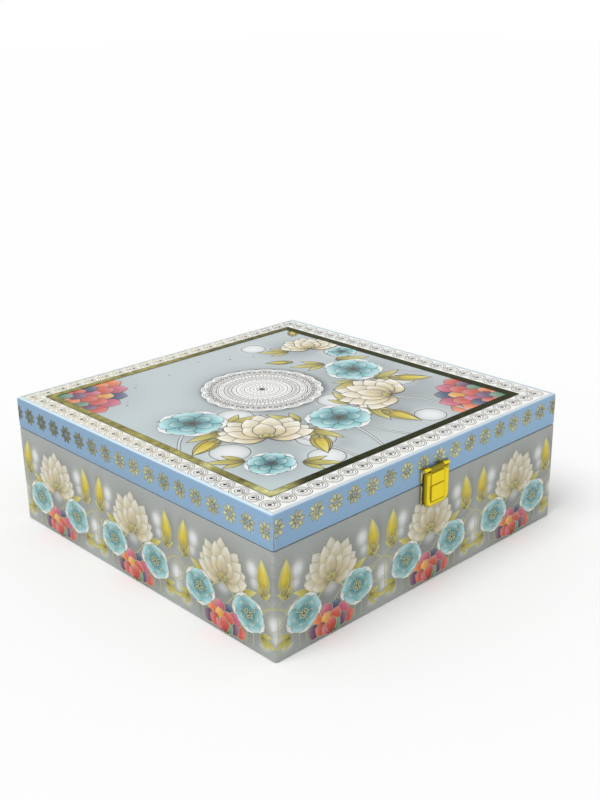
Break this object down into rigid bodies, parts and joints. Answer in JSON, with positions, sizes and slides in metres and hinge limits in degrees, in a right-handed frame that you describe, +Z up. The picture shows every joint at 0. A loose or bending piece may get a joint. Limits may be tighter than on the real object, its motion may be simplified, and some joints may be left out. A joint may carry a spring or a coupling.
{
  "type": "gift hamper box",
  "caption": "Square paper-covered fibreboard gift box with a hinged lid, back butt hinges and a brass snap latch at the front.",
  "frame": {"origin": "centre of the underside, on the surface that the box stands on", "axes": "+X to the right along the front, +Y towards the hinges at the back, +Z up; the latch is on the -Y face"},
  "size_m": [0.254, 0.2614, 0.089],
  "materials": {
    "fibreboard": "raw medium-density fibreboard",
    "side_paper": "glossy printed paper with a floral frieze",
    "lid_paper": "glossy light blue paper with gold foil daisies",
    "top_print": "glossy printed sheet with a gold foil frame",
    "lining_paper": "plain uncoated lining paper",
    "underside_paper": "plain paper",
    "hinge_brass": "bright brass plate",
    "latch_brass": "bright pressed brass",
    "pin_steel": "bright steel wire"
  },
  "bodies": {
    "base": {"base_bottom_board": "fibreboard", "base_front_wall": "fibreboard", "base_back_wall": "fibreboard", "base_left_wall": "fibreboard", "base_right_wall": "fibreboard", "base_wrap": "side_paper", "base_lining": "lining_paper", "base_floor_sheet": "lining_paper", "base_underside_sheet": "underside_paper", "hinge_left_base_leaf": "hinge_brass", "hinge_right_base_leaf": "hinge_brass", "hinge_left_base_screw_left": "hinge_brass", "hinge_left_base_screw_right": "hinge_brass", "hinge_right_base_screw_left": "hinge_brass", "hinge_right_base_screw_right": "hinge_brass", "latch_catch_plate": "latch_brass", "latch_catch_nail_left": "latch_brass", "latch_catch_nail_right": "latch_brass", "hinge_left_pin": "pin_steel", "hinge_right_pin": "pin_steel"},
    "lid": {"lid_top_board": "fibreboard", "lid_front_rail": "fibreboard", "lid_back_rail": "fibreboard", "lid_left_rail": "fibreboard", "lid_right_rail": "fibreboard", "lid_wrap": "lid_paper", "lid_top_print": "top_print", "lid_lining": "lining_paper", "lid_ceiling_sheet": "lining_paper", "hinge_left_lid_leaf": "hinge_brass", "hinge_right_lid_leaf": "hinge_brass", "latch_lid_plate": "latch_brass", "latch_pin": "pin_steel", "latch_plate_nail_left": "latch_brass", "latch_plate_nail_right": "latch_brass", "hinge_left_lid_screw_left": "hinge_brass", "hinge_left_lid_screw_right": "hinge_brass", "hinge_right_lid_screw_left": "hinge_brass", "hinge_right_lid_screw_right": "hinge_brass"},
    "latch_flap": {"latch_flap": "latch_brass"}
  },
  "joints": [
    {"name": "lid_hinge", "type": "hinge", "parent": "base", "child": "lid", "pos_m": [0, 0.1291, 0.0675], "axis": [-1, 0, 0], "range_deg": [0, 180]},
    {"name": "latch_flap_hinge", "type": "hinge", "parent": "lid", "child": "latch_flap", "pos_m": [0, -0.1286, 0.0762], "axis": [-1, 0, 0], "range_deg": [0, 150]}
  ]
}
